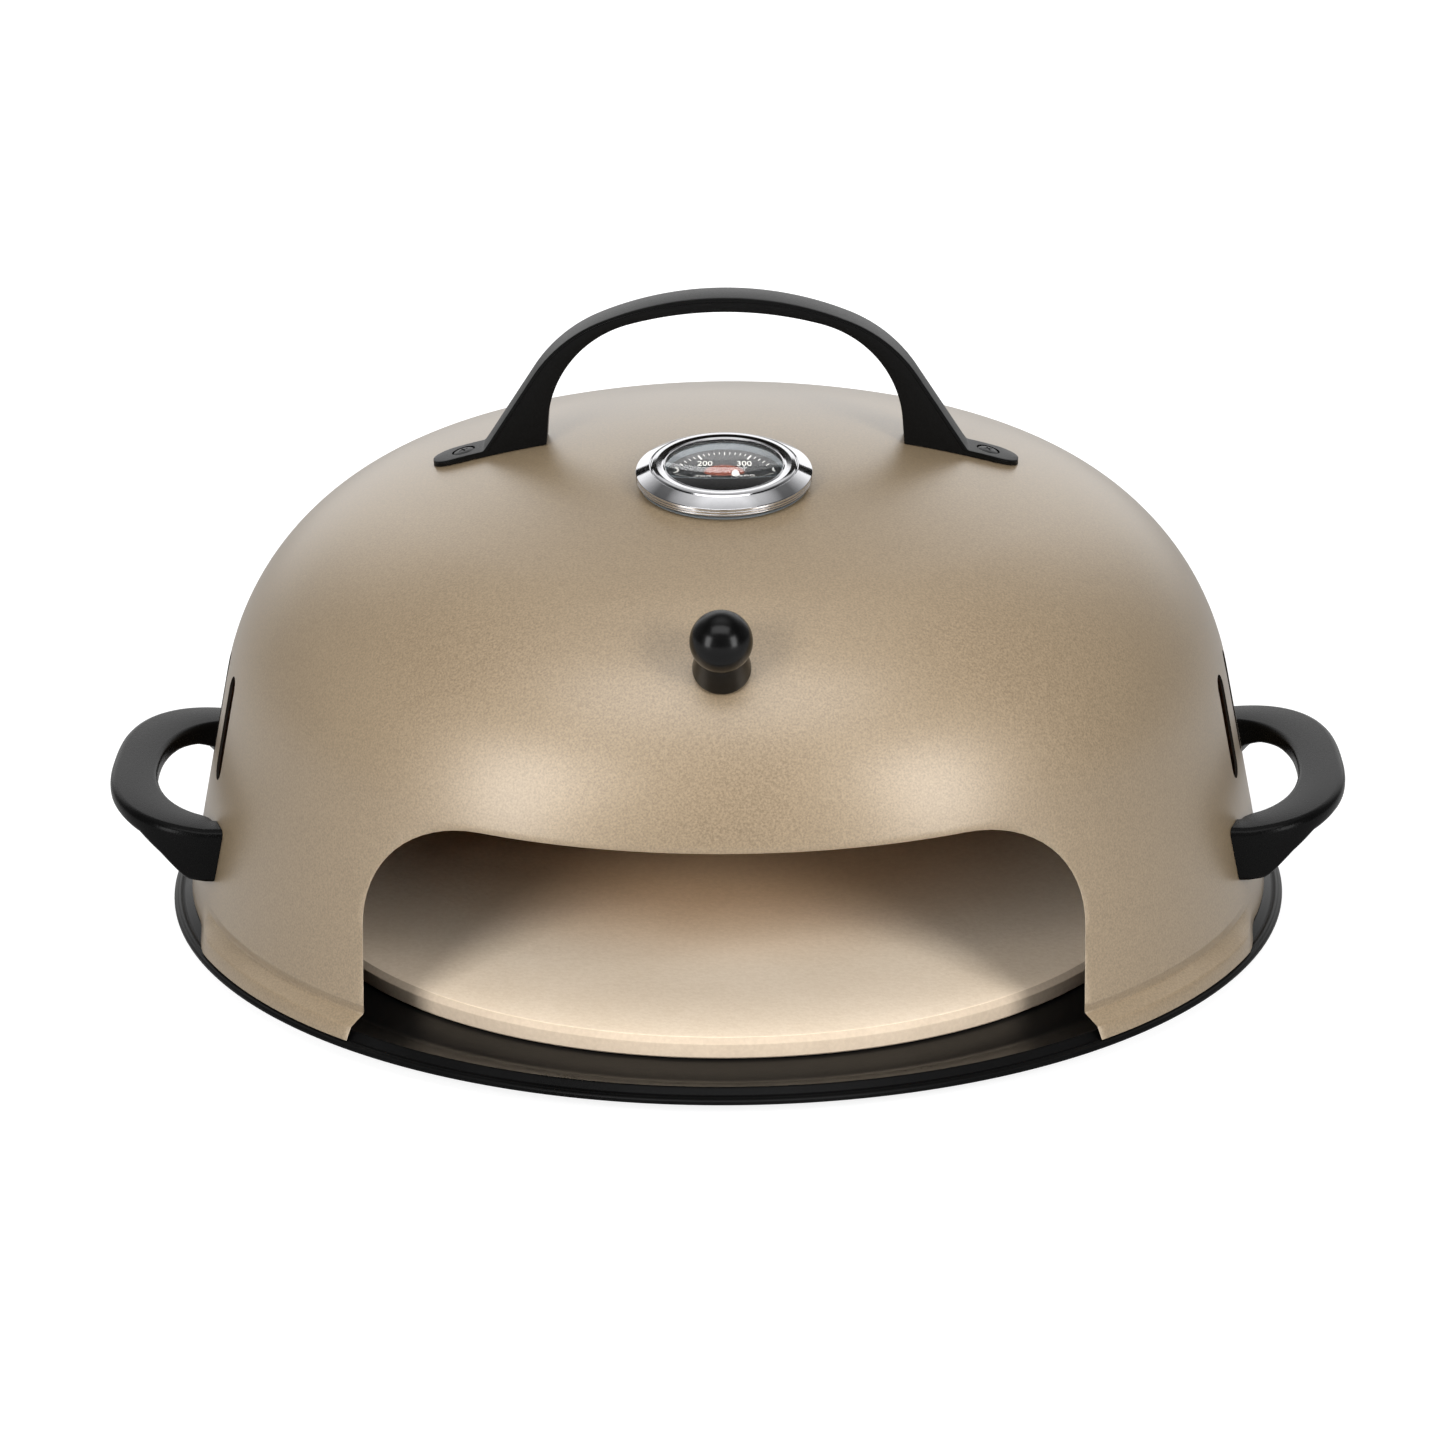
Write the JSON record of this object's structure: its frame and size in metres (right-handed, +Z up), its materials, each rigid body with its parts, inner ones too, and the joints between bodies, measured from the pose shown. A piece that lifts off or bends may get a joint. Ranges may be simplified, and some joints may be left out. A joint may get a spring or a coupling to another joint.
{
  "type": "grill-top pizza oven",
  "caption": "Grill-top pizza oven: a lift-off pressed dome with an arched mouth, vent slots, handles and a dial thermometer, over a round stone on a shallow pan.",
  "frame": {"origin": "centre of the pan's flat underside, in the plane that rests on the grill", "axes": "+Z up along the dome's axis, -Y out of the mouth, +X to the right seen from the front, through the right side handle"},
  "size_m": [0.5444, 0.493, 0.2774],
  "materials": {
    "bronze_paint": "fine-grained metallic bronze paint, satin",
    "black_enamel": "black enamel, semi-gloss",
    "cordierite": "matte beige ceramic with a fine grain",
    "black_nylon": "black satin moulding with a fine texture",
    "black_phenolic": "polished black",
    "zinc_steel": "zinc plated",
    "brass": "turned",
    "chrome": "polished",
    "clear_glass": "clear",
    "dial_print": "dark face with a red-brown field and pale marks",
    "pointer_paint": "pale matt paint",
    "seal_rubber": "black"
  },
  "bodies": {
    "base": {"base_pan": "black_enamel"},
    "stone": {"pizza_stone": "cordierite"},
    "dome": {"dome_shell": "bronze_paint", "top_handle": "black_nylon", "top_handle_screw_left": "zinc_steel", "top_handle_screw_right": "zinc_steel", "top_handle_washer_left": "zinc_steel", "top_handle_washer_right": "zinc_steel", "top_handle_nut_left": "zinc_steel", "top_handle_nut_right": "zinc_steel", "left_side_handle": "black_nylon", "right_side_handle": "black_nylon", "left_side_handle_front_insert": "brass", "left_side_handle_rear_insert": "brass", "right_side_handle_front_insert": "brass", "right_side_handle_rear_insert": "brass", "left_side_handle_front_screw": "zinc_steel", "left_side_handle_rear_screw": "zinc_steel", "right_side_handle_front_screw": "zinc_steel", "right_side_handle_rear_screw": "zinc_steel", "left_side_handle_front_washer": "zinc_steel", "left_side_handle_rear_washer": "zinc_steel", "right_side_handle_front_washer": "zinc_steel", "right_side_handle_rear_washer": "zinc_steel", "front_knob": "black_phenolic", "front_knob_insert": "brass", "front_knob_screw": "zinc_steel", "front_knob_washer": "zinc_steel", "thermometer_bezel": "chrome", "thermometer_lens": "clear_glass", "lens_seal": "seal_rubber", "thermometer_dial": "dial_print", "thermometer_case": "zinc_steel", "bimetal_coil": "brass", "thermometer_stem": "zinc_steel", "thermometer_clamp_plate": "zinc_steel", "thermometer_nut": "brass"},
    "pointer": {"thermometer_pointer": "pointer_paint", "pointer_shaft": "zinc_steel"}
  },
  "joints": [
    {"name": "dome_lift", "type": "slide", "parent": "base", "child": "dome", "axis": [0, 0, 1], "range_m": [0, 0.3]},
    {"name": "stone_lift", "type": "slide", "parent": "base", "child": "stone", "axis": [0, 0, 1], "range_m": [0, 0.1]},
    {"name": "pointer_turn", "type": "hinge", "parent": "dome", "child": "pointer", "pos_m": [0, -0.0652, 0.21184], "axis": [0, -0.1452, 0.9894], "range_deg": [-270, 0]}
  ]
}
